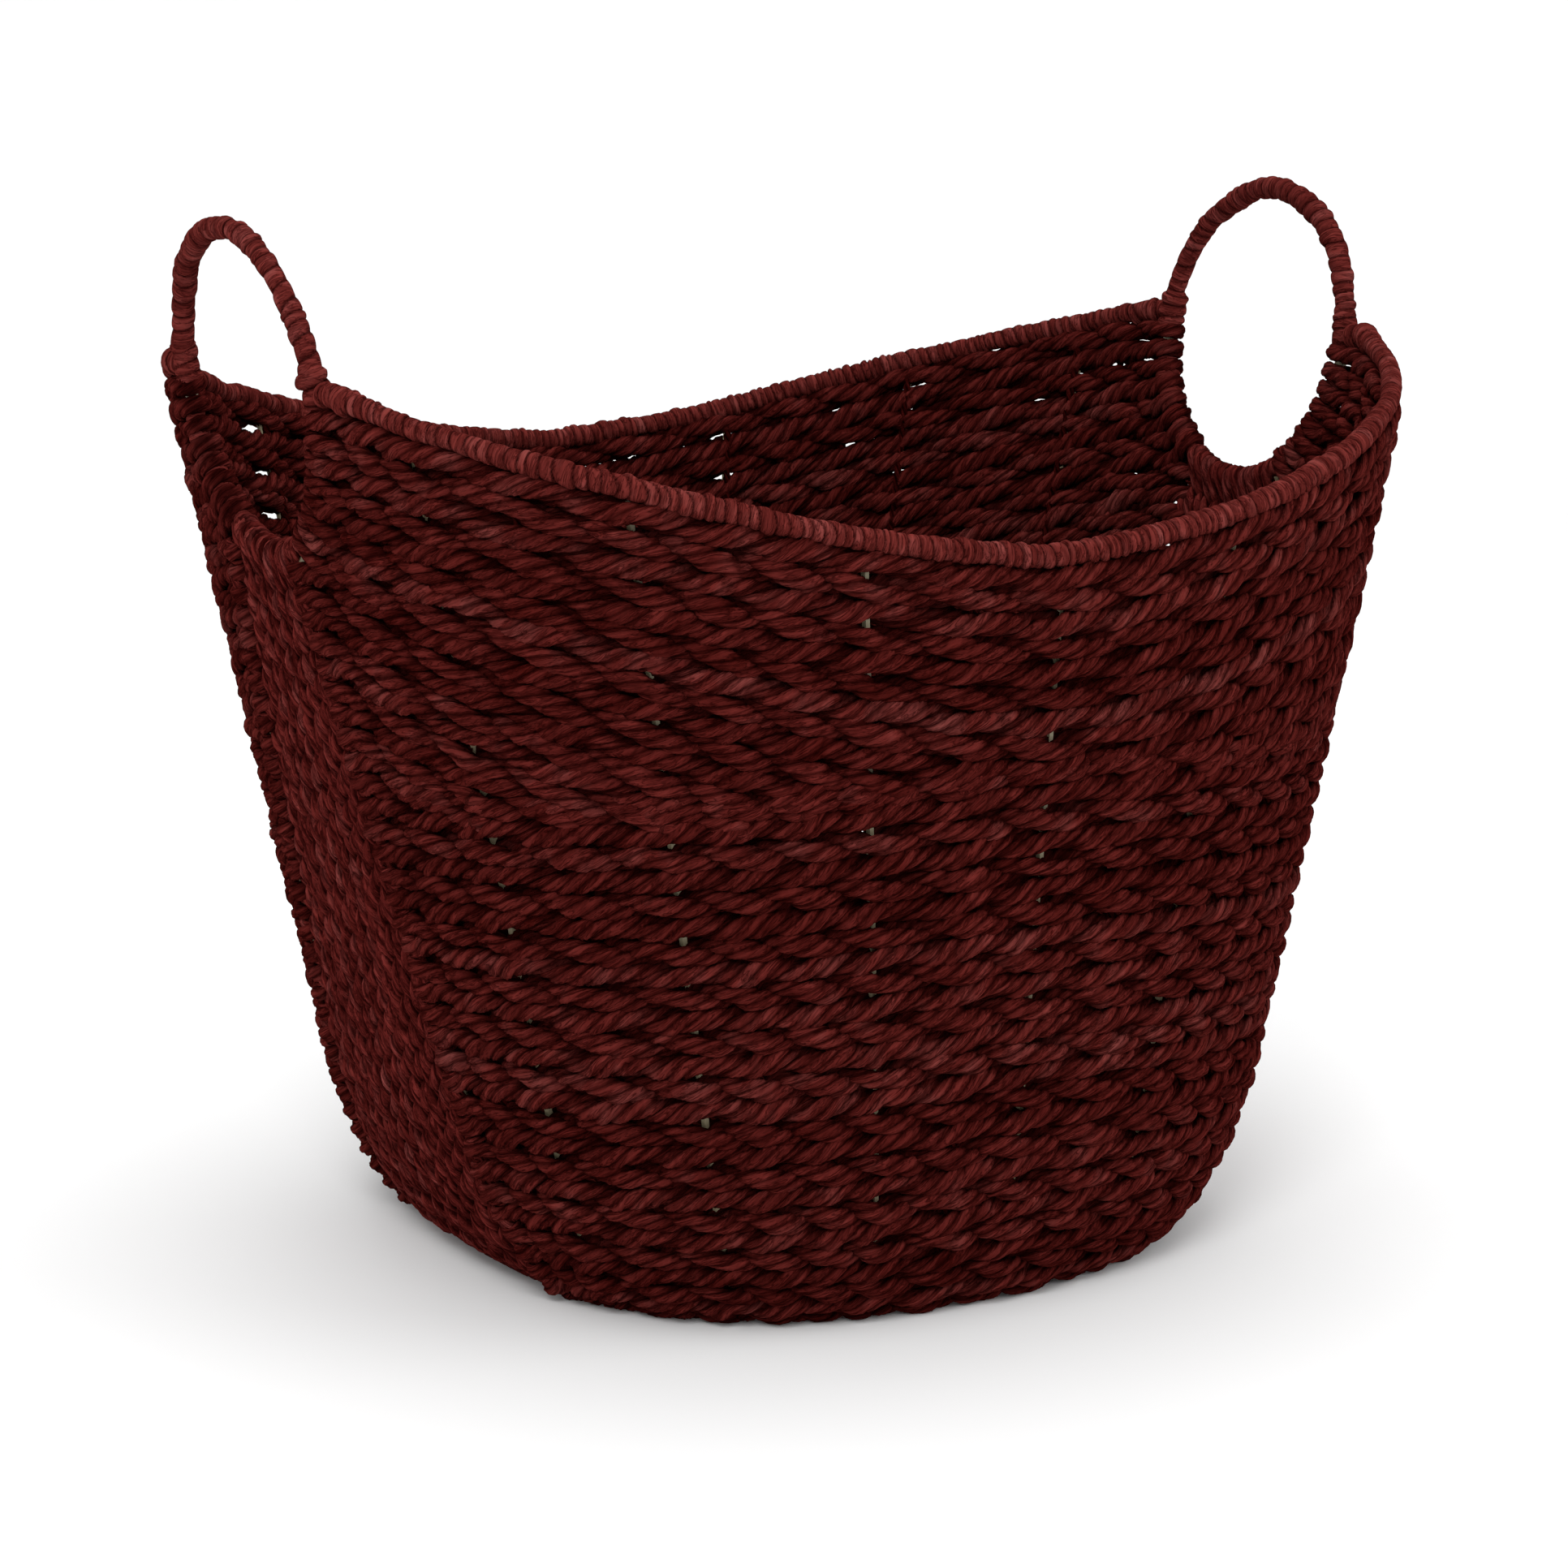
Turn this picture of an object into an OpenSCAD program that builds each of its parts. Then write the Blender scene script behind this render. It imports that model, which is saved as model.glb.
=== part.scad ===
// Log basket: twined paper rope on a welded wire frame, with a round carrying ring in each end.
// Frame: origin at the middle of the base's underside, +Z up, +X to the right-hand ring,
// -Y to the front side.

/* [Wall] */
// Half of the basket's length, at the wall's middle surface and the height of the rim's ends
half_length = 246; // [210:1:290]
// Half of the basket's width, at the wall's middle surface and the height of the low rim
half_width = 208; // [185:1:235]
// Half of the length at the base, before the bottom edge is rounded
base_half_length = 167; // [150:1:195]
// Half of the width at the base, before the bottom edge is rounded
base_half_width = 173; // [160:1:190]
// Squareness of the outline: 2 is an ellipse, more is squarer
squareness = 2.5; // [2.3:0.1:3.2]
// Height over which the bottom edge is rounded
edge_rise = 80; // [55:1:95]
// How far the rounding draws the bottom edge in
edge_inset = 26; // [18:1:30]
// Thickness of the twined rope wall
weave_thick = 10; // [8:0.5:12]

/* [Rim] */
// Height of the rim's centre at the middle of the front and the back
rim_low = 309; // [285:1:330]
// Height of the rim's centre towards the two ends
rim_high = 365; // [355:1:372]
// Extra lift of the rim over its last stretch up to the ring
rim_lift = 8; // [0:1:10]
// How late the rim rises: larger keeps the middle flatter
rim_power = 1.6; // [1.4:0.1:2.4]
// Diameter of the rim's wire
rim_wire_d = 4.4; // [3.5:0.1:5]
// Diameter over the rim's wrapping
rim_wrap_d = 8.8; // [8:0.1:10]

/* [Carrying rings] */
// Radius of the ring at the centre of its wire
ring_radius = 64; // [60:1:68]
// Height of the ring's centre
ring_height = 363; // [358:1:368]
// Distance of the ring's centre from the middle of the basket
ring_reach = 239; // [236:1:242]
// Lean of the ring away from the basket, in degrees
ring_lean = 8.5; // [6:0.5:10]
// Diameter of the ring's wire
ring_wire_d = 5; // [4:0.1:5.4]
// Diameter over the ring's wrapping
ring_wrap_d = 10.4; // [9:0.1:10.8]

/* [Ribs and end strips] */
// Number of rib wires from the front rim to the back rim
rib_count = 7; // [5:1:9]
// Angle between the basket's long axis and the ends of the ribs' even spacing, at the base
rib_margin_low = 14; // [12:0.5:16]
// The same angle at the rim
rib_margin_high = 9; // [8:0.5:14]
// Diameter of a rib wire
rib_wire_d = 3.4; // [2.6:0.1:3.6]
// Half width of the end strip at the bottom of the ring
band_top_half = 30; // [26:1:34]
// Half width of the end strip at the base
band_base_half = 70; // [60:1:75]
// How late the end strip narrows: 1 is a straight taper, more stays wide further up
band_taper = 1.3; // [1:0.1:1.8]
// Diameter of the wires that bound the end strip
band_wire_d = 4; // [3:0.1:4.2]

/* [Hidden] */
RIBS = [for (k = [1:rib_count]) str("rib_", k)];
FRAME = ["rim_wire_front", "rim_wire_back", "ring_wire_left", "ring_wire_right",
         "band_wire_front", "band_wire_back"];
WEAVE = ["side_weave_front", "side_weave_back", "end_weave_left", "end_weave_right", "base_weave"];
WRAPS = ["rim_wrap_front", "rim_wrap_back", "handle_wrap_left", "handle_wrap_right",
         "notch_wrap_left", "notch_wrap_right"];
LASHINGS = ["lashing_front_left", "lashing_front_right", "lashing_back_left", "lashing_back_right"];

$fn = 64;
ROPE = [0.34, 0.10, 0.09];
ROPE_LIGHT = [0.40, 0.13, 0.11];
WIRE = [0.50, 0.46, 0.34];
clear = 0.5;            // gap between a piece and its neighbour
ring_clear = 3;         // gap between a ring's wrapping and the edge of a side weave
end_clear = 2;          // gap between a ring's wrapping and the top of an end weave
touch = 0.8;            // gap between two wires that are welded together
half_thick = weave_thick / 2;
cross_shift = 1.9;      // ribs lie this far inside the wall's middle, band wires this far outside
side_rows = 15;         // height steps of a side weave
spans_per_rib = 3;      // length steps of a side weave between two grooves
band_columns = 8;       // width steps of an end weave
base_gap = 3.5;         // gap round the base, where the ribs bend
lashing_d = 11.4;       // over the lashing at the rim's ends
lift_reach = 98;        // distance along Y over which the rim is lifted towards the ring
side_length = 560;      // about the length of a side weave, to turn a width into a share of it
end_rows = 12;          // height steps of an end weave
band_rows = 16;         // height steps of a band wire
rim_steps = 40;         // steps along the rim

joint_half = 3.3;       // half of the gap that the wrapping leaves at a joint, in degrees
foot_away = 6;          // distance along Y from the ring's wire to the rim's last free point

// ---- vectors ----

function unit(v) = v / norm(v);

// ---- shape of the wall ----

// Point at an angle on the outline whose half axes are both 1
function outline(a) =
    let (r = pow(pow(abs(cos(a)), squareness) + pow(abs(sin(a)), squareness), -1 / squareness))
    [r * cos(a), r * sin(a)];

// Angle at which the outline reaches a share of its half width, on the +X side
function outline_angle(share) =
    atan2(share, pow(1 - pow(abs(share), squareness), 1 / squareness));

// How far the rounded bottom edge is drawn in at a height
function inset(z) =
    let (h = 1 - (z - half_thick) / edge_rise)
    h <= 0 ? 0 : edge_inset * (1 - sqrt(max(0, 1 - h * h)));

function length_at(z) = base_half_length + (half_length - base_half_length) * z / rim_high - inset(z);
function width_at(z) = base_half_width + (half_width - base_half_width) * z / rim_low - inset(z);

// Point on the wall's middle surface, from an angle round the basket and a height
function wall(a, z) =
    let (p = outline(a))
    [length_at(z) * p[0], width_at(z) * p[1], z];

// Outward normal of the wall; at the very bottom the wall lies flat and faces down
function wall_normal(a, z) =
    z < half_thick + 0.01
        ? [0, 0, -1]
        : unit(cross(wall(a + 0.5, z) - wall(a - 0.5, z), wall(a, z + 1) - wall(a, max(half_thick, z - 1))));

// Point at a distance outside the wall's middle surface, inside it if negative
function off_wall(a, z, distance) = wall(a, z) + distance * wall_normal(a, z);

// Height of the rim's centre at an angle round the basket
function rim_height(a) =
    let (p = outline(a))
    let (near_ring = max(0, 1 - max(0, abs(p[1]) * half_width - ring_radius) / lift_reach))
    rim_low + (rim_high - rim_low) * pow(abs(p[0]), rim_power)
        + (abs(p[0]) > 0.5 ? rim_lift * near_ring * near_ring : 0);

// ---- carrying ring ----

// Point in the right-hand ring's plane, from an angle and a distance from the ring's centre
function ring_point(a, r) =
    [ring_reach + r * sin(a) * sin(ring_lean), r * cos(a), ring_height + r * sin(a) * cos(ring_lean)];

// Half width of the opening that a circle in the ring's plane cuts at a height
function ring_half(r, z) =
    let (h = (z - ring_height) / cos(ring_lean))
    abs(h) < r ? sqrt(r * r - h * h) : 0;

// Angle on the ring of its joint with the rim, and of its joint with a band wire
rim_foot_angle = outline_angle((ring_radius + 2 * foot_away) / half_width);
rim_joint = asin((rim_height(rim_foot_angle) - ring_height) / (ring_radius * cos(ring_lean)));
band_joint = acos(band_top_half / ring_radius);

// ---- end strip ----

band_top_z = ring_point(-band_joint, ring_radius)[2];
function band_half(z) =
    band_base_half - (band_base_half - band_top_half) * pow(max(0, z) / band_top_z, band_taper);

// Angle round the basket of a point on the right-hand end wall, from its distance to the
// middle plane and its height
function end_angle(y, z) = outline_angle(y / width_at(z));

// ---- meshes ----

// Faces of a grid of rows by columns, closed round on the columns if wrapped
function grid_faces(rows, columns, wrap, start = 0, flip = false) =
    [for (i = [0:rows - 2])
        for (j = [0:wrap ? columns - 1 : columns - 2])
            let (a = start + i * columns + j)
            let (b = start + i * columns + (j + 1) % columns)
            let (quad = [a, b, b + columns, a + columns])
            flip ? [quad[3], quad[2], quad[1], quad[0]] : quad];

// Ring of points round each point of a path, square to it; side is a direction that the path
// never runs along
function tube_points(path, radius, sides, side) =
    [for (i = [0:len(path) - 1])
        let (ahead = path[min(i + 1, len(path) - 1)] - path[i])
        let (behind = path[i] - path[max(i - 1, 0)])
        let (run = i == 0 ? unit(ahead) : i == len(path) - 1 ? unit(behind) : unit(unit(ahead) + unit(behind)))
        let (across = unit(cross(run, side)))
        let (up = cross(across, run))
        for (j = [0:sides - 1])
            path[i] + radius * (cos(360 * (j + 0.5) / sides) * across + sin(360 * (j + 0.5) / sides) * up)];

// Round wire along a path
module wire(path, diameter, sides, side) {
    last = (len(path) - 1) * sides;
    polyhedron(
        tube_points(path, diameter / 2, sides, side),
        concat(
            grid_faces(len(path), sides, true),
            [[for (j = [sides - 1:-1:0]) j], [for (j = [0:sides - 1]) last + j]]
        ),
        convexity = 10
    );
}

// Hollow tube along a path
module sleeve(path, outer, inner, sides, side) {
    count = len(path) * sides;
    last = (len(path) - 1) * sides;
    polyhedron(
        concat(tube_points(path, outer / 2, sides, side), tube_points(path, inner / 2, sides, side)),
        concat(
            grid_faces(len(path), sides, true),
            grid_faces(len(path), sides, true, count, true),
            [for (j = [0:sides - 1])
                let (k = (j + 1) % sides)
                [k, j, count + j, count + k]],
            [for (j = [0:sides - 1])
                let (k = (j + 1) % sides)
                [last + j, last + k, last + count + k, last + count + j]]
        ),
        convexity = 10
    );
}

// Closed sheet between an outer and an inner grid of points, whose columns run from right to
// left as seen from outside
module sheet(outer, inner, rows, columns) {
    count = rows * columns;
    top = (rows - 1) * columns;
    polyhedron(
        concat(outer, inner),
        concat(
            grid_faces(rows, columns, false),
            grid_faces(rows, columns, false, count, true),
            [for (j = [0:columns - 2]) [j + 1, j, count + j, count + j + 1]],
            [for (j = [0:columns - 2]) [top + j, top + j + 1, top + count + j + 1, top + count + j]],
            [for (i = [0:rows - 2])
                let (a = i * columns)
                [a, a + columns, count + a + columns, count + a]],
            [for (i = [0:rows - 2])
                let (a = (i + 1) * columns - 1)
                [a + columns, a, count + a, count + a + columns]]
        ),
        convexity = 10
    );
}

// ---- side weave ----

// Distance of a side weave's edge from the middle plane, at a height on the end wall
function side_edge(z) =
    max(band_half(z) + band_wire_d / 2 + clear, ring_half(ring_radius + ring_wrap_d / 2 + ring_clear, z));

// Height of a row, as a share of the way to the top: rows gather towards both ends, where the
// wall is rounded
function row_height(share, top) = half_thick + (top - half_thick) * (1 - cos(180 * share)) / 2;

weave_drop = rim_wrap_d / 2 + 3;
edge_top = rim_height(outline_angle((ring_radius + foot_away) / half_width)) - weave_drop;

// Place of a rib along the front side weave: 0 is its right edge, 1 its left
function rib_place(k) = k / (rib_count + 1);

// Angle round the basket of a line that runs from rim to base with the ribs
function rib_line(along, z) =
    let (margin = rib_margin_low + (rib_margin_high - rib_margin_low) * z / rim_high)
    -margin - along * (180 - 2 * margin);

// Angle round the basket of a column of the front side weave; between the last rib's groove and
// an edge the columns spread out to follow the edge
function column_angle(along, z) =
    let (edge = end_angle(side_edge(z), z))
    let (end = rib_place(1) - groove_lip)
    along < end
        ? -edge + (rib_line(end, z) + edge) * along / end
        : along > 1 - end
            ? rib_line(1 - end, z) + (edge - 180 - rib_line(1 - end, z)) * (along - 1 + end) / end
            : rib_line(along, z);

function side_point(along, share, distance, drop) =
    let (top = rim_height(column_angle(along, edge_top)) - drop)
    let (a = column_angle(along, row_height(share, edge_top)))
    off_wall(a, row_height(share, top), distance);

groove_half = (rib_wire_d / 2 + clear) / side_length;
groove_lip = groove_half + 2.5 / side_length;
groove_floor = -cross_shift + rib_wire_d / 2 + 2 * clear;

// Columns of the side weave, each with the distance of its inner face: the grooves hold the ribs
side_columns = concat(
    [[0, -half_thick]],
    [for (k = [0:rib_count])
        let (from = k == 0 ? 0 : rib_place(k) + groove_lip)
        let (to = k == rib_count ? 1 : rib_place(k + 1) - groove_lip)
        each concat(
            [for (i = [1:spans_per_rib - 1]) [from + (to - from) * i / spans_per_rib, -half_thick]],
            k == rib_count ? [[1, -half_thick]] : [
                [to, -half_thick],
                [rib_place(k + 1) - groove_half, groove_floor],
                [rib_place(k + 1) + groove_half, groove_floor],
                [rib_place(k + 1) + groove_lip, -half_thick]
            ]
        )]
);

module side_weave_front() {
    color(ROPE)
        sheet(
            [for (i = [0:side_rows]) for (c = side_columns)
                side_point(c[0], i / side_rows, half_thick, weave_drop)],
            [for (i = [0:side_rows]) for (c = side_columns)
                side_point(c[0], i / side_rows, c[1], weave_drop)],
            side_rows + 1, len(side_columns)
        );
}

module side_weave_back() {
    mirror([0, 1, 0]) side_weave_front();
}

// ---- ribs ----

function rib_front_path(k) =
    [for (i = [side_rows:-1:0]) side_point(rib_place(k), i / side_rows, -cross_shift, rim_wrap_d / 2 + clear)];

module rib(k) {
    front = rib_front_path(k);
    back = [for (i = [side_rows:-1:0]) [front[i][0], -front[i][1], front[i][2]]];
    color(WIRE) wire(concat(front, back), rib_wire_d, 6, [1, 0, 0]);
}

// ---- rim ----

// Point where the front rim's wire meets a ring: side is 1 for the right-hand ring, -1 for the left
function rim_end(side) =
    let (p = ring_point(rim_joint, ring_radius + ring_wire_d / 2 + touch))
    [side * p[0], -p[1], p[2]];

// Centre line of the front rim, from the right-hand ring to the left-hand one
rim_path = concat(
    [rim_end(1)],
    [for (i = [0:rim_steps])
        let (a = -rim_foot_angle - i / rim_steps * (180 - 2 * rim_foot_angle))
        wall(a, rim_height(a))],
    [rim_end(-1)]
);

// The lashing covers the rim's first stretch and this share of its second, and the wrapping the rest
lashing_share = 0.6;
lashing_path = [
    rim_path[0] + ((ring_wrap_d - ring_wire_d) / 2 + ring_clear) * unit(rim_path[1] - rim_path[0]),
    rim_path[1],
    rim_path[1] + lashing_share * (rim_path[2] - rim_path[1])
];
wrap_start = rim_path[1] + (lashing_share + 0.04) * (rim_path[2] - rim_path[1]);
wrap_path = concat(
    [wrap_start],
    [for (i = [2:rim_steps]) rim_path[i]],
    [[-wrap_start[0], wrap_start[1], wrap_start[2]]]
);

module rim_wire_front() {
    color(WIRE) wire(rim_path, rim_wire_d, 8, [0, 0, 1]);
}

module rim_wire_back() {
    mirror([0, 1, 0]) rim_wire_front();
}

module rim_wrap_front() {
    color(ROPE_LIGHT) sleeve(wrap_path, rim_wrap_d, rim_wire_d + clear, 10, [0, 0, 1]);
}

module rim_wrap_back() {
    mirror([0, 1, 0]) rim_wrap_front();
}

module lashing_front_right() {
    color(ROPE_LIGHT) sleeve(lashing_path, lashing_d, rim_wire_d + clear, 12, [0, 0, 1]);
}

module lashing_front_left() {
    mirror([1, 0, 0]) lashing_front_right();
}

module lashing_back_right() {
    mirror([0, 1, 0]) lashing_front_right();
}

module lashing_back_left() {
    mirror([0, 1, 0]) lashing_front_left();
}

// ---- carrying rings ----

// Puts a shape that stands round the Z axis into the plane of the right-hand ring, with the
// shape's +X towards +Y and its +Y upwards
module in_ring() {
    translate([ring_reach, 0, ring_height])
        rotate([0, ring_lean, 0])
            rotate([90, 0, 90])
                children();
}

module ring_wire_right() {
    color(WIRE)
        in_ring()
            rotate_extrude()
                translate([ring_radius, 0])
                    circle(d = ring_wire_d, $fn = 32);
}

module ring_wire_left() {
    mirror([1, 0, 0]) ring_wire_right();
}

// Hollow wrapping round the ring's wire between two angles
module ring_wrap(from, to) {
    in_ring()
        rotate([0, 0, from])
            rotate_extrude(angle = to - from)
                translate([ring_radius, 0])
                    difference() {
                        circle(d = ring_wrap_d, $fn = 32);
                        circle(d = ring_wire_d + clear, $fn = 32);
                    }
}

module handle_wrap_right() {
    color(ROPE_LIGHT) ring_wrap(rim_joint + joint_half, 180 - rim_joint - joint_half);
}

module handle_wrap_left() {
    mirror([1, 0, 0]) handle_wrap_right();
}

module notch_wrap_right() {
    color(ROPE_LIGHT) {
        ring_wrap(-band_joint + joint_half, rim_joint - joint_half);
        ring_wrap(-180 + band_joint + joint_half, -band_joint - joint_half);
        ring_wrap(180 - rim_joint + joint_half, 180 + band_joint - joint_half);
    }
}

module notch_wrap_left() {
    mirror([1, 0, 0]) notch_wrap_right();
}

// ---- end strips ----

// Height of the end weave's top edge at a distance from the middle plane
function end_top(y) =
    let (r = ring_radius + ring_wrap_d / 2 + end_clear)
    ring_height - cos(ring_lean) * sqrt(r * r - y * y);

function end_point(across, share, distance) =
    let (near = row_height(share, band_top_z - 4))
    let (y = across * (band_half(near) - band_wire_d / 2 - clear))
    let (z = row_height(share, end_top(across * band_top_half)))
    off_wall(end_angle(y, z), z, distance);

module end_weave_right() {
    columns = [for (j = [0:band_columns]) 1 - 2 * j / band_columns];
    color(ROPE)
        sheet(
            [for (i = [0:end_rows]) for (c = columns) end_point(c, i / end_rows, half_thick)],
            [for (i = [0:end_rows]) for (c = columns) end_point(c, i / end_rows, -half_thick)],
            end_rows + 1, len(columns)
        );
}

module end_weave_left() {
    mirror([1, 0, 0]) end_weave_right();
}

// Right-hand half of the front band wire, from the ring down to the middle of the base
function band_right_path() =
    let (p = ring_point(-band_joint, ring_radius + ring_wire_d / 2 + touch))
    concat(
        [[p[0], -p[1], p[2]]],
        [for (i = [band_rows:-1:0])
            let (z = row_height(i / band_rows, band_top_z - 8))
            off_wall(-end_angle(band_half(z), z), z, cross_shift)]
    );

module band_wire_front() {
    right = band_right_path();
    left = [for (i = [len(right) - 1:-1:0]) [-right[i][0], right[i][1], right[i][2]]];
    color(WIRE) wire(concat(right, left), band_wire_d, 8, [0, 1, 0]);
}

module band_wire_back() {
    mirror([0, 1, 0]) band_wire_front();
}

// ---- base ----

base_long = length_at(half_thick) - base_gap;
base_wide = width_at(half_thick) - base_gap;
base_points = 96;

// Distance from the middle, along X, at which a rib crosses the base
function rib_x(k) = side_point(rib_place(k), 0, 0, 0)[0];

module base_weave() {
    color(ROPE)
        difference() {
            linear_extrude(weave_thick)
                polygon([for (i = [0:base_points - 1])
                    let (p = outline(360 * i / base_points))
                    [base_long * p[0], base_wide * p[1]]]);
            for (k = [1:rib_count])
                translate([rib_x(k), 0, half_thick + cross_shift])
                    rotate([90, 0, 0])
                        cylinder(d = rib_wire_d + clear, h = 2 * half_width, center = true, $fn = 24);
            for (side = [-1, 1])
                translate([0, side * band_half(half_thick), half_thick - cross_shift])
                    rotate([0, 90, 0])
                        cylinder(d = band_wire_d + clear, h = 2 * half_length, center = true, $fn = 24);
        }
}

for (k = [1:rib_count])
    rib(k);

rim_wire_front();
rim_wire_back();
ring_wire_left();
ring_wire_right();
band_wire_front();
band_wire_back();
side_weave_front();
side_weave_back();
end_weave_left();
end_weave_right();
base_weave();
rim_wrap_front();
rim_wrap_back();
handle_wrap_left();
handle_wrap_right();
notch_wrap_left();
notch_wrap_right();
lashing_front_left();
lashing_front_right();
lashing_back_left();
lashing_back_right();
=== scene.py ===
import math

import bpy
import numpy as np
from mathutils import Matrix, Vector


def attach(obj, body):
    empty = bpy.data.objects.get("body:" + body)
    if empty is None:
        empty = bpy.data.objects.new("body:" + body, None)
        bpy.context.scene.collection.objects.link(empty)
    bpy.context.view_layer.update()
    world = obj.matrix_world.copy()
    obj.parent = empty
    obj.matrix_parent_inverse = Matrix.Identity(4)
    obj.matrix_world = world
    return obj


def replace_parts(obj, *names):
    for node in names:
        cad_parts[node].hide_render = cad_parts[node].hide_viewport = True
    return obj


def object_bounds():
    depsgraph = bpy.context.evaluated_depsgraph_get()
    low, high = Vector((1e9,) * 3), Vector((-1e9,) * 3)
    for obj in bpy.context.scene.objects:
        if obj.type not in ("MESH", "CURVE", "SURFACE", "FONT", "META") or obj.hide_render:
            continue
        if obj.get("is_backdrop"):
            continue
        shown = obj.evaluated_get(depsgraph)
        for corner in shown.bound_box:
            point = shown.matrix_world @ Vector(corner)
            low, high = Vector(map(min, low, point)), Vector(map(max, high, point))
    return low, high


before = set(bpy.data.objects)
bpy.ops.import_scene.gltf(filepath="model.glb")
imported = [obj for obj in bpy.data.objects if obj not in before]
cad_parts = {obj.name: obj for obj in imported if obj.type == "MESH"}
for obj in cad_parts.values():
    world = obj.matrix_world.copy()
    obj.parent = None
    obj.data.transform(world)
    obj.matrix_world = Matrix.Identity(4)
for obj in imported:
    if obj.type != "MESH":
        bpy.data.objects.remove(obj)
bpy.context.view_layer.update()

# ---- sizes, in metres, as in the part's source ----

HALF_LENGTH, HALF_WIDTH = 0.246, 0.208
BASE_HALF_LENGTH, BASE_HALF_WIDTH = 0.167, 0.173
SQUARENESS = 2.5
EDGE_RISE, EDGE_INSET = 0.080, 0.026
HALF_THICK = 0.005
RIM_LOW, RIM_HIGH, RIM_LIFT, RIM_POWER, LIFT_REACH = 0.309, 0.365, 0.008, 1.6, 0.098
RING_RADIUS, RING_HEIGHT, RING_REACH = 0.064, 0.363, 0.239
RING_LEAN = math.radians(8.5)
RING_WIRE, BAND_WIRE = 0.0025, 0.002
RING_WRAP, RIM_WRAP = 0.0052, 0.0044
BAND_TOP_HALF, BAND_BASE_HALF, BAND_TAPER = 0.030, 0.070, 1.3
FOOT_AWAY = 0.006
BAND_SHIFT = 0.0019

RIBS, RIB_MARGIN_LOW, RIB_MARGIN_HIGH = 7, 14.0, 9.0
RIB_SHIFT = 0.0019

STAKES_AT = [0, 2, 4, 7, 9, 11, 14, 16, 18]     # crossings of a row at its edge, each rib and its other edge
LOW_ROWS = 25          # rows that run level, from the base up
HIGH_ROWS = 8          # rows under the rim that cross the whole side
ROPE = 0.0039          # radius of a weaving rope
LIFT = 0.0029          # how far a rope swings out of the wall's middle
SWING = 0.0020         # how far it swings up and down

BASE_PITCH = 0.0094    # from row to row across the base, before it is fitted to the width
BASE_EDGE = 0.0005     # how far inside the outline the base's rows end
BASE_STEP = 0.35       # share of a pitch by which a row's ends run on, to close the steps
BASE_HEIGHT = 0.0062   # height of the rows' middle over the floor


# ---- small helpers ----

def unit(v):
    return v / np.maximum(np.linalg.norm(v, axis=-1, keepdims=True), 1e-12)


def smooth_noise(rng, count, step, strength):
    """Smooth random values: new ones every step samples, with cubic blends between them."""
    knots = rng.normal(0, 1, int(count / step) + 4)
    t = np.arange(count) / step
    i = t.astype(int)
    f = t - i
    f = f * f * (3 - 2 * f)
    return strength * (knots[i] * (1 - f) + knots[i + 1] * f)


def resample(points, spacing, closed=False):
    """Even points along a line."""
    if closed:
        points = np.vstack([points, points[:1]])
    length = np.r_[0, np.cumsum(np.linalg.norm(np.diff(points, axis=0), axis=1))]
    count = max(8, int(round(length[-1] / spacing)))
    at = np.linspace(0, length[-1], count + 1)
    out = np.stack([np.interp(at, length, points[:, k]) for k in range(3)], 1)
    return out[:-1] if closed else out


# ---- shape of the wall ----

def outline(a):
    c, s = np.cos(a), np.sin(a)
    r = (np.abs(c) ** SQUARENESS + np.abs(s) ** SQUARENESS) ** (-1 / SQUARENESS)
    return r * c, r * s


def outline_angle(share):
    share = np.clip(share, -0.999, 0.999)
    return np.arctan2(share, (1 - np.abs(share) ** SQUARENESS) ** (1 / SQUARENESS))


def inset(z):
    h = 1 - (z - HALF_THICK) / EDGE_RISE
    return np.where(h <= 0, 0, EDGE_INSET * (1 - np.sqrt(np.clip(1 - h * h, 0, 1))))


def length_at(z):
    return BASE_HALF_LENGTH + (HALF_LENGTH - BASE_HALF_LENGTH) * z / RIM_HIGH - inset(z)


def width_at(z):
    return BASE_HALF_WIDTH + (HALF_WIDTH - BASE_HALF_WIDTH) * z / RIM_LOW - inset(z)


def wall(a, z):
    x, y = outline(a)
    return np.stack([length_at(z) * x, width_at(z) * y, z + 0 * x], -1)


def wall_normal(a, z):
    across = wall(a + 0.009, z) - wall(a - 0.009, z)
    up = wall(a, z + 0.001) - wall(a, np.maximum(HALF_THICK, z - 0.001))
    return unit(np.cross(across, up))


def rim_height(a):
    x, y = outline(a)
    near = np.maximum(0, 1 - np.maximum(0, np.abs(y) * HALF_WIDTH - RING_RADIUS) / LIFT_REACH)
    return (RIM_LOW + (RIM_HIGH - RIM_LOW) * np.abs(x) ** RIM_POWER
            + np.where(np.abs(x) > 0.5, RIM_LIFT * near * near, 0))


def ring_point(a, r):
    """Point of the right-hand ring."""
    return np.array([RING_REACH + r * math.sin(a) * math.sin(RING_LEAN), r * math.cos(a),
                     RING_HEIGHT + r * math.sin(a) * math.cos(RING_LEAN)])


def ring_half(r, z):
    h = (z - RING_HEIGHT) / math.cos(RING_LEAN)
    return np.sqrt(np.clip(r * r - h * h, 0, None))


BAND_JOINT = math.acos(BAND_TOP_HALF / RING_RADIUS)
BAND_TOP = ring_point(-BAND_JOINT, RING_RADIUS)[2]
FOOT_ANGLE = float(outline_angle((RING_RADIUS + 2 * FOOT_AWAY) / HALF_WIDTH))
RIM_JOINT = math.asin((float(rim_height(FOOT_ANGLE)) - RING_HEIGHT)
                      / (RING_RADIUS * math.cos(RING_LEAN)))


def band_half(z):
    return BAND_BASE_HALF - (BAND_BASE_HALF - BAND_TOP_HALF) * (
        np.clip(z, 0, BAND_TOP) / BAND_TOP) ** BAND_TAPER


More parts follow.
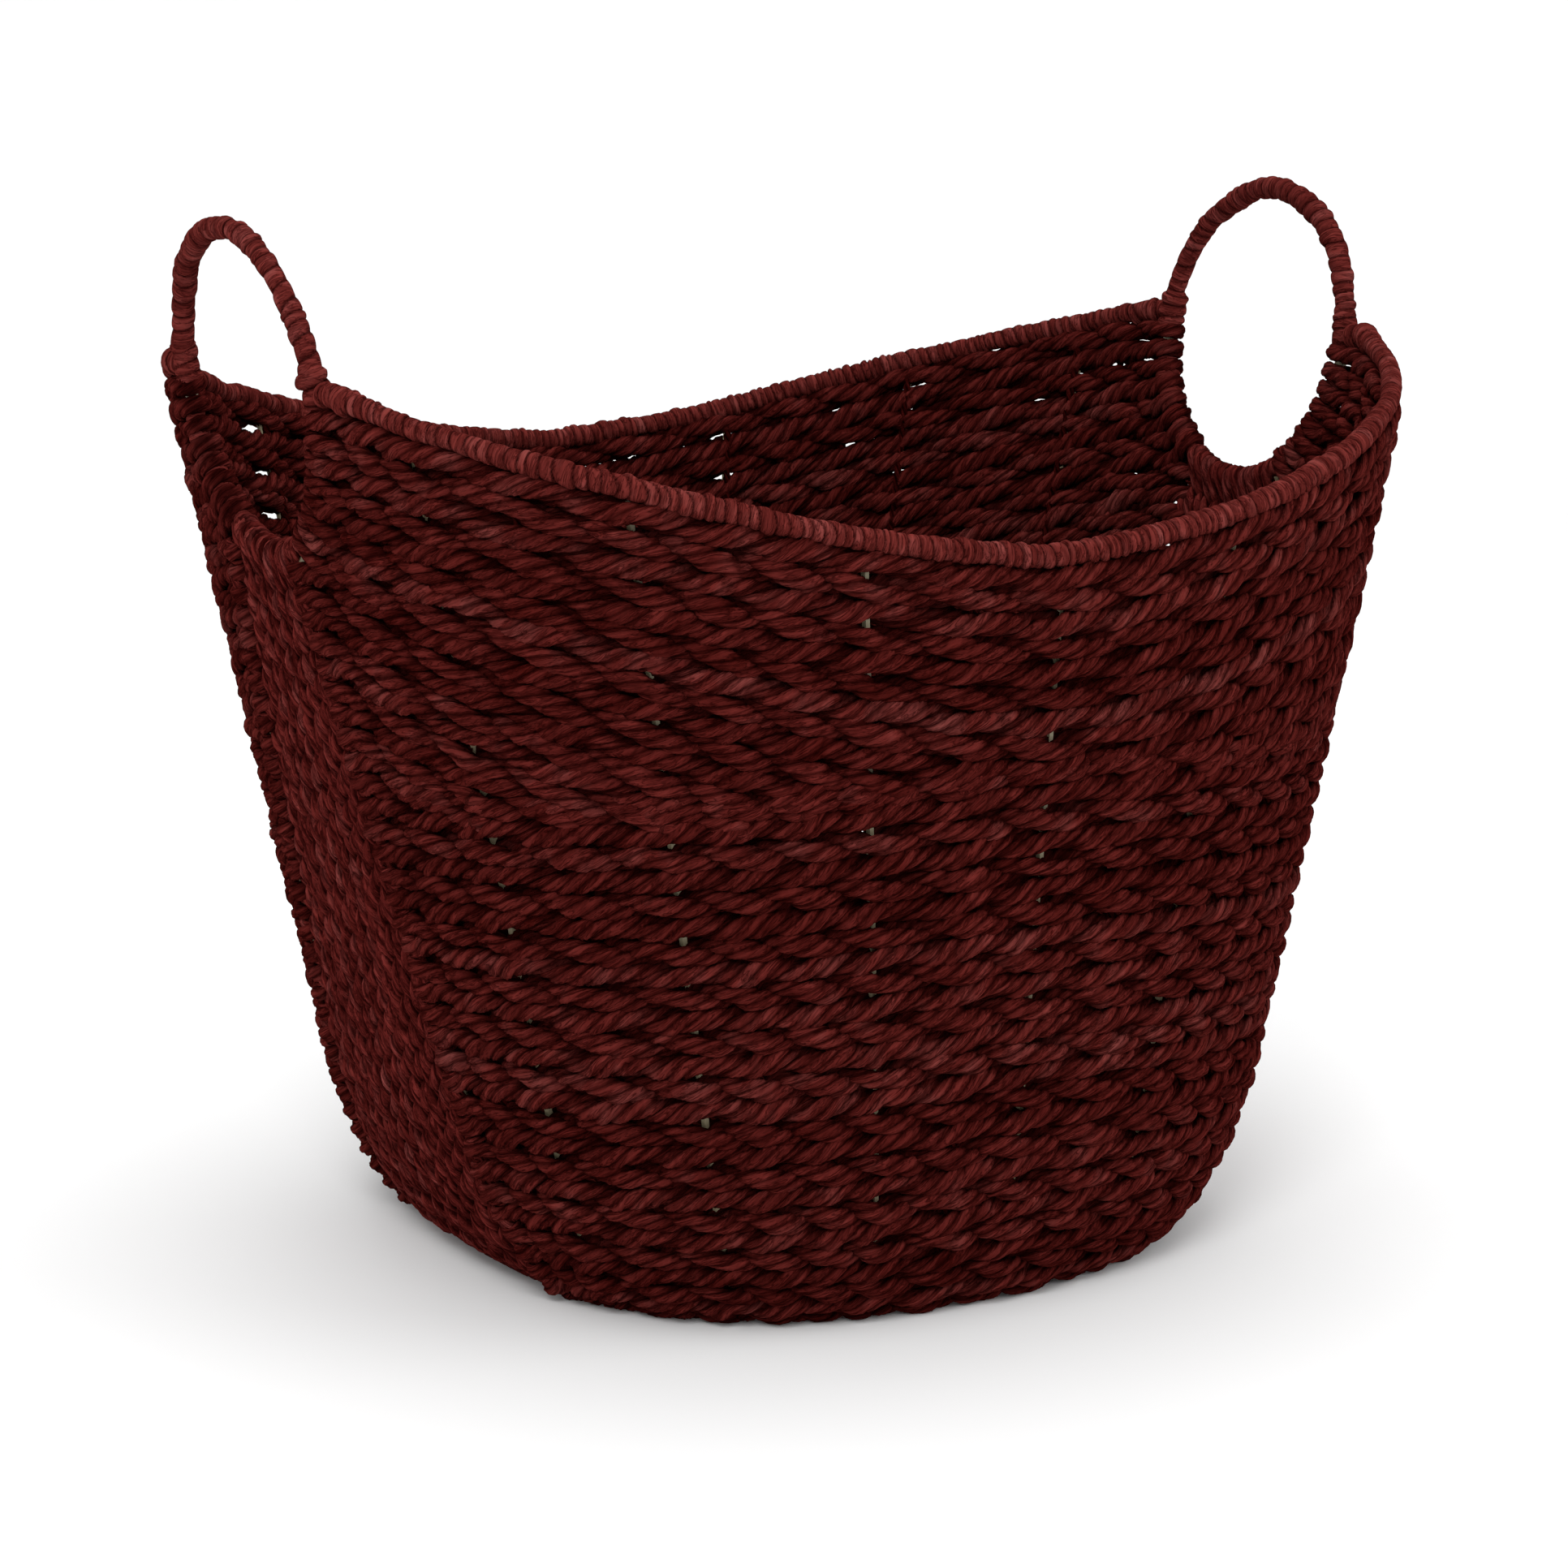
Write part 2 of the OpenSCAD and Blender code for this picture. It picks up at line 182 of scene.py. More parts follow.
def side_edge(z):
    """Distance of a side weave's edge from the middle plane."""
    return np.maximum(np.where(z < BAND_TOP, band_half(z) + BAND_WIRE + 0.0005, 0),
                      ring_half(RING_RADIUS + RING_WRAP + 0.003, z))


def edge_wire(z):
    """Nearest wire that a side row can turn round, at the front of the right-hand end."""
    edge = float(side_edge(z))
    here = wall(-outline_angle(edge / width_at(z)), z)
    turn = math.atan2((z - RING_HEIGHT) / math.cos(RING_LEAN), edge)
    found = [(ring_point(turn, RING_RADIUS) * np.array([1, -1, 1]), RING_WIRE)]
    if z < BAND_TOP:
        a = outline_angle(band_half(z) / width_at(z))
        found.append((wall(-a, z) + BAND_SHIFT * wall_normal(-a, z), BAND_WIRE))
    return min(found, key=lambda w: np.linalg.norm(w[0] - here))


EDGE_TOP = float(rim_height(outline_angle((RING_RADIUS + FOOT_AWAY) / HALF_WIDTH))) - RIM_WRAP - 0.003


def rib_angle(k, z):
    """Angle from the long axis to a rib, at a height on it."""
    def line(h):
        margin = np.radians(RIB_MARGIN_LOW + (RIB_MARGIN_HIGH - RIB_MARGIN_LOW) * h / RIM_HIGH)
        return margin + k / (RIBS + 1) * (math.pi - 2 * margin)
    top = float(rim_height(-line(EDGE_TOP))) - RIM_WRAP - 0.0005
    return line(HALF_THICK + (z - HALF_THICK) * (EDGE_TOP - HALF_THICK) / (top - HALF_THICK))


def stake_angle(number, z):
    """Angle from the long axis to a stake: those in STAKES_AT stand at the edges and the ribs."""
    edge = float(outline_angle(side_edge(z) / width_at(z)))
    angles = [edge] + [float(rib_angle(k, z)) for k in range(1, RIBS + 1)] + [math.pi - edge]
    return np.interp(number, STAKES_AT, angles)


def stake_number(angle, z):
    """The other way round: how many stakes lie between the edge and each point of a row."""
    edge = outline_angle(side_edge(z) / width_at(z))
    angles = np.stack([edge] + [rib_angle(k, z) for k in range(1, RIBS + 1)] + [math.pi - edge], 1)
    return np.array([np.interp(-a, row, STAKES_AT) for a, row in zip(angle, angles)])


def near_rib(number):
    """1 at a rib and 0 away from it, from the number of stakes passed."""
    return sum(np.exp(-((number - n) / 0.20) ** 2) for n in STAKES_AT[1:-1])


# ---- meshes ----

def build(name, verts, faces, material, attributes=()):
    """Mesh object from arrays, riding on the root body and shaded smooth."""
    mesh = bpy.data.meshes.new(name)
    verts = np.asarray(verts, np.float32)
    faces = np.asarray(faces, np.int32)
    mesh.vertices.add(len(verts))
    mesh.vertices.foreach_set("co", verts.ravel())
    mesh.loops.add(faces.size)
    mesh.loops.foreach_set("vertex_index", faces.ravel())
    mesh.polygons.add(len(faces))
    mesh.polygons.foreach_set("loop_start", np.arange(0, faces.size, faces.shape[1], dtype=np.int32))
    mesh.polygons.foreach_set("use_smooth", np.ones(len(faces), bool))
    mesh.update(calc_edges=True)
    for label, values in attributes:
        values = np.asarray(values, np.float32)
        if values.ndim == 2:
            mesh.attributes.new(label, "FLOAT_VECTOR", "POINT").data.foreach_set("vector", values.ravel())
        else:
            mesh.attributes.new(label, "FLOAT", "POINT").data.foreach_set("value", values)
    mesh.materials.append(material)
    obj = bpy.data.objects.new(name, mesh)
    bpy.context.scene.collection.objects.link(obj)
    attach(obj, "root")
    return obj


def lumps(rng, own, along, cell, plies):
    """Smooth random swelling that runs along the plies: each is as long as a cell."""
    rows = int(along[-1] / cell) + 3
    knots = rng.normal(0, 1, (rows, plies))
    t = along[:, None] / cell + 0 * own
    c = (own / (2 * math.pi) * plies) % plies
    i, j = t.astype(int), c.astype(int)
    f, g = t - i, c - j
    f, g = f * f * (3 - 2 * f), g * g * (3 - 2 * g)
    j0, j1 = j % plies, (j + 1) % plies
    return ((knots[i, j0] * (1 - g) + knots[i, j1] * g) * (1 - f)
            + (knots[i + 1, j0] * (1 - g) + knots[i + 1, j1] * g) * f)


def tube(path, side, radius, rng, closed, sides=16, turn=0.034, plies=4, depth=0.22, tall=1.08,
         flat=0.94, rough=0.11, leaf=0.0095):
    """Twisted rope along a path. side is a direction across it. radius may vary along it, and so
    may tall and flat, its shares along side and across side. Each ply is creased every leaf or so.
    Gives its points, faces, rope coordinates and how deep each point lies in a groove."""
    count = len(path)
    if closed:
        run = unit(np.roll(path, -1, 0) - np.roll(path, 1, 0))
    else:
        run = unit(np.gradient(path, axis=0))
    up = unit(side - np.sum(side * run, 1, keepdims=True) * run)
    out = np.cross(up, run)
    step = np.r_[0, np.linalg.norm(np.diff(path, axis=0), axis=1)]
    along = np.cumsum(step)
    turns = max(1, round(along[-1] / turn)) if closed else along[-1] / turn
    twist = 2 * math.pi * turns * along / (along[-1] + (step[-1] if closed else 0))
    own = np.arange(sides)[None, :] * 2 * math.pi / sides + np.zeros((count, 1))
    steady = np.clip(np.minimum(np.arange(count), np.arange(count)[::-1]) / 4.0, 0, 1)[:, None]
    around = own + twist[:, None] + 0.17 * steady * lumps(rng, own, along, 0.013, plies)
    wave = np.abs(np.cos(own * plies / 2)) ** 0.6
    ply = own / (2 * math.pi) * plies
    beside = ply - np.round(ply)
    fold = along[:, None] / leaf + rng.uniform(0, 1, plies)[np.round(ply).astype(int) % plies] \
        + 0.45 * beside + smooth_noise(rng, count, 9, 0.22)[:, None]
    pinched = 1 - np.clip(1.7 * np.abs(np.sin(math.pi * fold)), 0, 1) ** 0.8
    swell = lumps(rng, own, along, 0.0085, plies) - 1.1 * pinched
    wobble = 1 + rough * swell * (steady if closed else 1)
    r = np.broadcast_to(np.asarray(radius, float).reshape(-1, 1), (count, 1)) \
        * (1 - depth + depth * wave) * wobble
    if not closed:
        r = r * np.clip(np.minimum(np.arange(count), np.arange(count)[::-1]) / 2.0, 0.04, 1)[:, None] ** 0.5
    tall, flat = np.reshape(tall, (-1, 1)), np.reshape(flat, (-1, 1))
    verts = (path[:, None, :] + (r * np.cos(around) * tall)[..., None] * up[:, None, :]
             + (r * np.sin(around) * flat)[..., None] * out[:, None, :])
    size = float(np.mean(radius))
    rope = np.stack([size * np.cos(own), size * np.sin(own),
                     np.broadcast_to(along[:, None], own.shape)], -1)
    index = np.arange(count * sides).reshape(count, sides)
    ahead = np.roll(index, -1, 0) if closed else index[1:]
    here = index if closed else index[:-1]
    faces = np.stack([here, ahead, np.roll(ahead, -1, 1), np.roll(here, -1, 1)], -1).reshape(-1, 4)
    # groove depth between the plies and at the pinches: the rope material paints it as shade
    deep = 1 - wave * (1 - 0.70 * pinched)
    return verts.reshape(-1, 3), faces, rope.reshape(-1, 3), deep.reshape(-1)


def join(parts):
    """Several tubes as one: points, faces, rope coordinates, groove depth and a shade each."""
    verts, faces, rope, groove, shade, start = [], [], [], [], [], 0
    for (v, f, c, g), tone in parts:
        verts.append(v)
        faces.append(f + start)
        rope.append(c + np.array([0, 0, 7.3 * tone]))
        groove.append(g)
        shade.append(np.full(len(v), tone))
        start += len(v)
    return [np.concatenate(x) for x in (verts, faces, rope, groove, shade)]


def rope_piece(name, parts, material):
    verts, faces, rope, groove, shade = join(parts)
    verts[:, 2] = np.maximum(verts[:, 2], 0.0004)
    obj = build(name, verts, faces, material, [("rope", rope), ("groove", groove), ("shade", shade)])
    return obj


def twined_row(line, normal, phase, hand, first_turn, last_turn, rng, radius=ROPE, lift=LIFT,
               swing=SWING, sides=16, slim=0.0, plies=4):
    """One closed rope: along a line on the wall, round the wire at its end, back behind itself
    and round the wire at its start. The two runs cross, pressed flat against each other, each time
    that phase passes half of pi. slim is how much thinner the rope is, at each point of the line."""
    count = len(line)
    run = unit(np.gradient(line, axis=0))
    up = unit(np.cross(normal, run))
    ends = np.minimum(np.arange(count), np.arange(count)[::-1]) / 6.0
    calm = np.clip(ends, 0, 1)
    bold = 1 + smooth_noise(rng, count, 14, 0.10)
    slack = smooth_noise(rng, count, 30, 0.0004)[:, None]
    phase = phase + smooth_noise(rng, count, 22, 0.20) * calm

    def strand(shift):
        swung = np.cos(phase + shift)
        out = (np.sign(swung) * np.abs(swung) ** 0.65)[:, None] * lift
        rise = (hand * np.sin(phase + shift) * swing * bold)[:, None] + slack
        return line + normal * out + up * rise * calm[:, None]

    def turn(wire, wire_radius, edge, face, start_side):
        """Points of the half turn round a wire, from the face side to the back or back again."""
        away = wire - edge
        away = unit(away - np.dot(away, face) * face)
        reach = wire_radius + radius * 0.6
        angles = np.linspace(-math.pi / 2, math.pi / 2, 7)
        return np.array([wire + reach * (math.cos(t) * away - start_side * math.sin(t) * face)
                         for t in angles])

    def round_trip(values, last, first):
        """Values of the line for the whole loop, with those of the two turns."""
        inner = values[2:-2]
        return np.concatenate([inner, np.repeat(last, 7, 0), inner[::-1], np.repeat(first, 7, 0)])

    front, back = strand(0.0), strand(math.pi)
    last_side = 1.0 if math.cos(phase[-1]) > 0 else -1.0
    first_side = 1.0 if math.cos(phase[0]) > 0 else -1.0
    path = np.vstack([
        front[2:-2],
        turn(last_turn[0], last_turn[1], line[-1], normal[-1], last_side),
        back[2:-2][::-1],
        turn(first_turn[0], first_turn[1], line[0], normal[0], -first_side),
    ])
    over = np.abs(np.cos(phase)) ** 0.8
    size = (0.94 + 0.08 * over) * (1 - 0.15 * (1 - calm)) * (1 - slim)
    traits = np.stack([size, 0.88 + 0.38 * over, 1.10 - 0.12 * over], 1)
    turned = np.array([[0.84, 1.22, 0.92]])
    even = resample(path, 0.0018, closed=True)
    for _ in range(2):
        even = 0.25 * np.roll(even, 1, 0) + 0.5 * even + 0.25 * np.roll(even, -1, 0)
    guide = resample_like(path, round_trip(up, up[-1:], up[:1]), len(even))
    traits = resample_like(path, round_trip(traits, turned, turned), len(even), False)
    thick = radius * traits[:, 0] * (1 + smooth_noise(rng, len(even), 12, 0.06))
    verts, faces, rope, groove = tube(even, guide, thick, rng, True, sides=sides, plies=plies,
                                      tall=traits[:, 1], flat=traits[:, 2])
    # How far each point stands out of the wall's middle: the returned groove value adds painted shade where
    # the rope dives into the wall.
    middle = resample_like(path, round_trip(line, line[-1:], line[:1]), len(even), False)
    face = resample_like(path, round_trip(normal, normal[-1:], normal[:1]), len(even))
    offset = np.abs(np.sum((verts.reshape(len(even), sides, 3) - middle[:, None, :])
                           * face[:, None, :], 2)).reshape(-1)
    deep = lift + radius
    shown = np.clip((offset - 0.25 * deep) / (0.62 * deep), 0, 1)
    shown = shown * shown * (3 - 2 * shown)
    return verts, faces, rope, 1 - (1 - 0.80 * groove) * (0.32 + 0.68 * shown)


def resample_like(path, values, count, directions=True):
    """Values that belong to a closed path's points, at even places along it."""
    closed = np.vstack([path, path[:1]])
    length = np.r_[0, np.cumsum(np.linalg.norm(np.diff(closed, axis=0), axis=1))]
    at = np.linspace(0, length[-1], count + 1)[:-1]
    full = np.vstack([values, values[:1]])
    found = np.stack([np.interp(at, length, full[:, k]) for k in range(3)], 1)
    return unit(found) if directions else found


# ---- materials ----

def new_material(name):
    m = bpy.data.materials.new(name)
    m.use_nodes = True
    nodes, links = m.node_tree.nodes, m.node_tree.links
    return m, nodes, links, nodes["Principled BSDF"]


def noise(nodes, scale, detail, rough):
    n = nodes.new("ShaderNodeTexNoise")
    n.inputs["Scale"].default_value = scale
    n.inputs["Detail"].default_value = detail
    n.inputs["Roughness"].default_value = rough
    return n


def mix(nodes, links, kind, factor, a, b):
    m = nodes.new("ShaderNodeMix")
    m.data_type = "RGBA"
    m.blend_type = kind
    for socket, value in ((m.inputs["Factor"], factor), (m.inputs[6], a), (m.inputs[7], b)):
        if isinstance(value, bpy.types.NodeSocket):
            links.new(value, socket)
        else:
            socket.default_value = value
    return m.outputs[2]


def ramp(nodes, links, source, stops):
    r = nodes.new("ShaderNodeValToRGB")
    links.new(source, r.inputs["Fac"])
    r.color_ramp.elements[0].position, r.color_ramp.elements[0].color = stops[0][0], stops[0][1]
    r.color_ramp.elements[1].position, r.color_ramp.elements[1].color = stops[-1][0], stops[-1][1]
    for place, colour in stops[1:-1]:
        r.color_ramp.elements.new(place).color = colour
    return r.outputs["Color"]


def paper_rope(name, dark, middle, light, fine=1.0):
    """Crumpled, twisted paper: folds and fibres that follow the twist, with painted shade in the grooves and
    fold lines and painted highlights on the crests and between the folds.
    """
    m, nodes, links, shader = new_material(name)
    rope = nodes.new("ShaderNodeAttribute")
    rope.attribute_name = "rope"
    groove = nodes.new("ShaderNodeAttribute")
    groove.attribute_name = "groove"
    shade = nodes.new("ShaderNodeAttribute")
    shade.attribute_name = "shade"

    def stretched(scale, detail, rough, length, bend):
        """Noise drawn out along the rope."""
        place = nodes.new("ShaderNodeMapping")
        links.new(rope.outputs["Vector"], place.inputs["Vector"])
        place.inputs["Scale"].default_value = (1.0, 1.0, length)
        n = noise(nodes, scale, detail, rough)
        n.inputs["Distortion"].default_value = bend
        links.new(place.outputs["Vector"], n.inputs["Vector"])
        return n.outputs["Fac"]

    fibres = stretched(1500, 4, 0.65, 0.10, 0.0)
    folds = stretched(430 * fine, 3, 0.6, 0.20, 0.9)
    blotch = noise(nodes, 60, 3, 0.6)
    links.new(rope.outputs["Vector"], blotch.inputs["Vector"])
    tone = nodes.new("ShaderNodeMath")
    tone.operation = "MULTIPLY_ADD"
    links.new(blotch.outputs["Fac"], tone.inputs[0])
    tone.inputs[1].default_value = 0.9
    links.new(shade.outputs["Fac"], tone.inputs[2])
    base = ramp(nodes, links, tone.outputs[0], [(0.35, dark), (0.75, middle), (1.0, light)])
    worn = ramp(nodes, links, fibres, [(0.34, (0.55, 0.5, 0.5, 1)), (0.70, (1.4, 1.4, 1.4, 1))])
    colour = mix(nodes, links, "MULTIPLY", 0.6, base, worn)
    # painted shade in the fold lines and a painted highlight, tinted whitish, between them
    fold_shade_and_highlight = ramp(nodes, links, folds, [
        (0.30, (0.45, 0.40, 0.40, 1)), (0.44, (0.85, 0.82, 0.82, 1)), (0.490, (0.16, 0.10, 0.10, 1)),
        (0.535, (1.0, 1.0, 1.0, 1)), (0.70, (1.28, 1.42, 1.42, 1))])
    colour = mix(nodes, links, "MULTIPLY", 0.85, colour, fold_shade_and_highlight)
    # painted highlight on the rope crests and painted shade in the ply grooves and where the rope dives into
    # the wall, from the groove attribute
    groove_shade_crest_highlight = ramp(nodes, links, groove.outputs["Fac"], [
        (0.10, (1.16, 1.16, 1.16, 1)), (0.40, (0.86, 0.82, 0.82, 1)), (0.85, (0.14, 0.09, 0.09, 1))])
    links.new(mix(nodes, links, "MULTIPLY", 0.9, colour, groove_shade_crest_highlight), shader.inputs["Base Color"])
    rough = nodes.new("ShaderNodeMapRange")
    links.new(fibres, rough.inputs["Value"])
    rough.inputs["To Min"].default_value = 0.60
    rough.inputs["To Max"].default_value = 0.85
    links.new(rough.outputs["Result"], shader.inputs["Roughness"])
    shader.inputs["Specular IOR Level"].default_value = 0.0
    first = nodes.new("ShaderNodeBump")
    first.inputs["Strength"].default_value = 0.9
    first.inputs["Distance"].default_value = 0.0022
    links.new(folds, first.inputs["Height"])
    second = nodes.new("ShaderNodeBump")
    second.inputs["Strength"].default_value = 0.7
    second.inputs["Distance"].default_value = 0.0004
    links.new(fibres, second.inputs["Height"])
    links.new(first.outputs["Normal"], second.inputs["Normal"])
    links.new(second.outputs["Normal"], shader.inputs["Normal"])
    return m


def painted_wire(name):
    """Olive-beige paint on iron wire, rubbed and stained in places."""
    m, nodes, links, shader = new_material(name)
    place = nodes.new("ShaderNodeTexCoord")
    stain = noise(nodes, 60, 5, 0.6)
    links.new(place.outputs["Object"], stain.inputs["Vector"])
    grain = noise(nodes, 900, 3, 0.5)
    links.new(place.outputs["Object"], grain.inputs["Vector"])
    colour = ramp(nodes, links, stain.outputs["Fac"], [
        (0.30, (0.12, 0.095, 0.055, 1)), (0.50, (0.24, 0.20, 0.12, 1)), (0.75, (0.36, 0.31, 0.19, 1))])
    links.new(colour, shader.inputs["Base Color"])
    rough = nodes.new("ShaderNodeMapRange")
    links.new(grain.outputs["Fac"], rough.inputs["Value"])
    rough.inputs["To Min"].default_value = 0.38
    rough.inputs["To Max"].default_value = 0.62
    links.new(rough.outputs["Result"], shader.inputs["Roughness"])
    bump = nodes.new("ShaderNodeBump")
    bump.inputs["Strength"].default_value = 0.3
    bump.inputs["Distance"].default_value = 0.0002
    links.new(grain.outputs["Fac"], bump.inputs["Height"])
    links.new(bump.outputs["Normal"], shader.inputs["Normal"])
    return m


weave = paper_rope("burgundy_rope", (0.043, 0.0040, 0.0031, 1), (0.088, 0.0122, 0.0102, 1),
                   (0.132, 0.0300, 0.0262, 1))
# the same paper rope painted brighter for the end strips and the bindings beside them, as painted light on
# the ends
strip = paper_rope("burgundy_rope_strip_painted_light", (0.056, 0.0061, 0.0050, 1), (0.113, 0.0154, 0.0131, 1),
                   (0.160, 0.0345, 0.0305, 1), 1.3)
# the same paper rope painted far darker for the stakes: painted shade for the depth of the wall they stand in
stake_rope_painted_shade = paper_rope("burgundy_stake_painted_shade", (0.018, 0.0014, 0.0011, 1), (0.038, 0.0036, 0.0030, 1),
                        (0.060, 0.0078, 0.0066, 1), 1.4)
# the same paper rope painted brighter for the wrapped rim, handles and lashings: painted light on these top
# parts
wrapping_painted_light = paper_rope("burgundy_wrapping_painted_light", (0.055, 0.0063, 0.0051, 1), (0.110, 0.0172, 0.0145, 1),
                      (0.185, 0.0440, 0.0390, 1), 1.1)
wire_paint = painted_wire("olive_wire")

for name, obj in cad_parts.items():
    if name.startswith("rib_") or "_wire_" in name:
        obj.data.materials.clear()
        obj.data.materials.append(wire_paint)

# ---- side weaves ----

ALONG = 420            # samples along a row


def side_grid():
    """Rows of the front side, from its right-hand edge to its left, as (order, first, last,
    angle, height). Low rows run level and high rows follow the rim. The wall is taller towards
    the ends, so short rows fill the wedges there, each from an edge to the stake where it stops."""
    along = np.linspace(0, 1, ALONG)

    def angle(z):
        edge = outline_angle(side_edge(z) / width_at(z))
        return -edge - along * (math.pi - 2 * edge)

    drop = RIM_WRAP + ROPE * 1.08
    top = np.full(ALONG, 0.34)
    for _ in range(40):
        top = 0.5 * top + 0.5 * (rim_height(angle(top)) - drop)
    share = (1 - np.cos(np.linspace(0, math.pi, 200))) / 2
    heights = HALF_THICK + (top[None, :] - HALF_THICK) * share[:, None]
    points = np.stack([wall(angle(h), h) for h in heights])
    length = np.vstack([np.zeros(ALONG), np.cumsum(np.linalg.norm(np.diff(points, axis=0), axis=2), 0)])
    full = length[-1]
    count = LOW_ROWS + HIGH_ROWS
    pitch = full[ALONG // 2] / (count - 0.55)
    extra = np.maximum(0, np.round(full / pitch + 0.55).astype(int) - count)
    own_pitch = full / (count + extra - 0.55)
    kernel = np.exp(-0.5 * (np.arange(-30, 31) / 11.0) ** 2)
    kernel = kernel / kernel.sum()

    def height(u):
        """Height of a row on the wall, from its distance up along the wall."""
        u = np.convolve(np.pad(u, 30, mode="edge"), kernel, "valid")
        return np.array([np.interp(u[i], length[:, i], heights[:, i]) for i in range(ALONG)])

    rows = []
    for k in range(LOW_ROWS):
        z = height((k + 0.45) * own_pitch)
        rows.append((k, 0, ALONG - 1, angle(z), z))
    for j in range(HIGH_ROWS + int(extra.max())):
        z = height(full - j * own_pitch)
        order = LOW_ROWS + j
        if j < HIGH_ROWS:
            rows.append((order, 0, ALONG - 1, angle(z), z))
            continue
        reach = int(np.argmax(extra[:ALONG // 2][::-1] > j - HIGH_ROWS))
        passed = stake_number(angle(z), z)
        stake = math.ceil(passed[ALONG // 2 - 1 - reach] + 0.3)
        last = int(np.argmin(np.abs(passed - stake)))
        if last > 12:
            rows.append((order, 0, last, angle(z), z))
            rows.append((order, ALONG - 1 - last, ALONG - 1, angle(z), z))
    return rows


def mirror(points, x, y):
    return points * np.array([x, y, 1.0])


side_rows = side_grid()


def side_weave(tag, y_sign, seed):
    first = None
    for k, (order, begin, stop, a, z) in enumerate(side_rows):
        rng = np.random.default_rng(seed + k)
        cut = slice(begin, stop + 1)
        passed = stake_number(a, z)
        parting = near_rib(passed) * np.clip(1 + smooth_noise(rng, ALONG, 50, 0.5), 0, 1.6)
        z = z + (0.0007 if order % 2 else -0.0007) * parting
        line = mirror(wall(a, z), 1, y_sign)[cut]
        normal = mirror(wall_normal(a, z), 1, y_sign)[cut]
        phase = math.pi * passed[cut]
        ends = []
        for at, edge, x_sign in ((0, begin == 0, 1), (-1, stop == ALONG - 1, -1)):
            if edge:
                wire, size = edge_wire(float(z[cut][at]))
                ends.append((mirror(wire, x_sign, y_sign), size))
            else:
                run = unit(line[0] - line[1]) if at == 0 else unit(line[-1] - line[-2])
                ends.append((line[at] + 0.001 * run, 0.0014))
        hand = (1 if order % 2 else -1) * y_sign
        mesh = twined_row(line, normal, phase, hand, ends[0], ends[1], rng, slim=0.09 * parting[cut])
        obj = rope_piece(f"side_row_{tag}_{k + 1:02d}", [(mesh, 0.10 + 0.28 * rng.random())], weave)
        first = first or obj
    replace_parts(first, f"side_weave_{tag}")
    rope_piece(f"stakes_{tag}", stake_ropes(y_sign, seed + 500), stake_rope_painted_shade)


def stake_ropes(y_sign, seed):
    """Upright ropes that the rows are woven round. Those at the ribs lie on the ribs' inner side."""
    parts = []
    rng = np.random.default_rng(seed)
    for number in range(1, STAKES_AT[-1]):
        shift = -RIB_SHIFT - 0.0022 if number in STAKES_AT else 0.0
        top = float(rim_height(-float(stake_angle(number, 0.3)))) - RIM_WRAP - 0.001
        line, normal = [], []
        for t in np.linspace(0.0, 1.0, 70):
            z = HALF_THICK + 0.001 + (top - HALF_THICK - 0.001) * (1 - math.cos(math.pi * t)) / 2
            a = -float(stake_angle(number, z))
            normal.append(wall_normal(a, z))
            line.append(wall(a, z) + shift * normal[-1])
        line = mirror(resample(np.array(line), 0.004), 1, y_sign)
        guide = np.repeat(unit(mirror(np.array(normal), 1, y_sign).mean(0))[None, :], len(line), 0)
        parts.append((tube(line, guide, 0.0021, rng, False, sides=12, turn=0.016, plies=3, leaf=0.006),
                      0.2 + 0.2 * rng.random()))
    return parts


side_weave("front", 1, 100)
side_weave("back", -1, 300)

# ---- end strips ----

STRIP_PITCH = 0.0056


def strip_line(y):
    """Middle line of an upright row of the right-hand end strip, at a distance from the middle."""
    if abs(y) < BAND_TOP_HALF:
        reach = RING_RADIUS + RING_WRAP + 0.002
        top = RING_HEIGHT - math.cos(RING_LEAN) * math.sqrt(reach * reach - y * y)
        wire = ring_point(-math.acos(y / RING_RADIUS), RING_RADIUS)
        turn = (wire, RING_WIRE)
    else:
        free = min(1.0, (BAND_BASE_HALF - abs(y)) / (BAND_BASE_HALF - BAND_TOP_HALF))
        top = BAND_TOP * max(0.0, free) ** (1 / BAND_TAPER) - 0.004
        if top < 0.02:
            return None
        a = float(outline_angle(y / width_at(top + 0.004)))
        turn = (wall(a, top + 0.004) + BAND_SHIFT * wall_normal(a, top + 0.004), BAND_WIRE)
    z = HALF_THICK + 0.001 + (top - HALF_THICK - 0.001) * (1 - np.cos(np.linspace(0, math.pi, 260))) / 2
    a = outline_angle(y / width_at(z))
    return wall(a, z), wall_normal(a, z), turn


